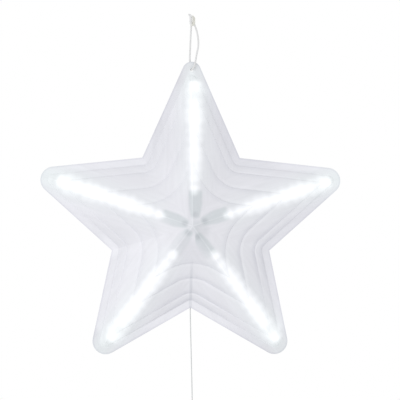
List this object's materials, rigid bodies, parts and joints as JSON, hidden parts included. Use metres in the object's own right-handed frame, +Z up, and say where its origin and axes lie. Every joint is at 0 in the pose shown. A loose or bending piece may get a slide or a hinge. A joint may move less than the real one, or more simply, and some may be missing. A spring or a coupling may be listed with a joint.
{
  "type": "led christmas star",
  "caption": "Hanging star lantern: translucent ridged shell lit by LED strips along its arms, with a string loop, a thin power lead and a battery box with sliding cover and timer switch.",
  "frame": {"origin": "the point where a hook bears, inside the string loop just under its knot, straight above the star's centre", "axes": "+X to the right seen from the front, +Y to the back, +Z up; the lit front faces -Y and the star's flat seam lies in the XZ plane"},
  "size_m": [0.4, 0.09, 0.652],
  "materials": {
    "shell_plastic": "translucent white, satin",
    "circuit_board": "pale grey-green solder mask",
    "led": "warm white phosphor in a clear housing",
    "hub_plastic": "moulded white",
    "screw_steel": "zinc plated",
    "contact_metal": "nickel plated",
    "string": "braided off-white",
    "clear_cable": "clear soft jacket",
    "soft_white": "soft white",
    "case_plastic": "fine texture, white",
    "cell_jacket": null,
    "dark_parts": "black moulded",
    "slider_plastic": "dark grey moulded"
  },
  "bodies": {
    "lantern": {"battery_case": "case_plastic", "battery_cell_1": "cell_jacket", "battery_cell_2": "cell_jacket", "battery_cell_3": "cell_jacket", "board_resistors": "dark_parts", "board_screws": "screw_steel", "cable_coil": "clear_cable", "cable_stop": "contact_metal", "cable_tail": "clear_cable", "centre_screw": "screw_steel", "coil_tie": "soft_white", "contact_plates": "contact_metal", "contact_springs": "contact_metal", "control_cover": "case_plastic", "control_screws": "screw_steel", "front_leds_1": "led", "front_leds_2": "led", "front_leds_3": "led", "front_leds_4": "led", "front_leds_5": "led", "front_shell": "shell_plastic", "hanging_cord": "string", "hanging_knot": "string", "hub_base": "hub_plastic", "hub_cap": "hub_plastic", "inner_cable": "clear_cable", "junction_board": "circuit_board", "junction_cover": "hub_plastic", "junction_screws": "screw_steel", "led_board_1": "circuit_board", "led_board_2": "circuit_board", "led_board_3": "circuit_board", "led_board_4": "circuit_board", "led_board_5": "circuit_board", "link_pins": "contact_metal", "power_cable": "clear_cable", "rear_leds_1": "led", "rear_leds_2": "led", "rear_leds_3": "led", "rear_leds_4": "led", "rear_leds_5": "led", "rear_shell": "shell_plastic", "strain_relief": "soft_white", "switch_body": "dark_parts", "timer_board": "circuit_board", "timer_parts": "dark_parts"},
    "battery_cover": {"battery_cover": "case_plastic"},
    "switch_slider": {"switch_slider": "slider_plastic"}
  },
  "joints": [
    {"name": "cover_slide", "type": "slide", "parent": "lantern", "child": "battery_cover", "axis": [0, 0, -1], "range_m": [0, 0.05]},
    {"name": "switch_slide", "type": "slide", "parent": "lantern", "child": "switch_slider", "axis": [1, 0, 0], "range_m": [-0.002, 0.002]}
  ]
}
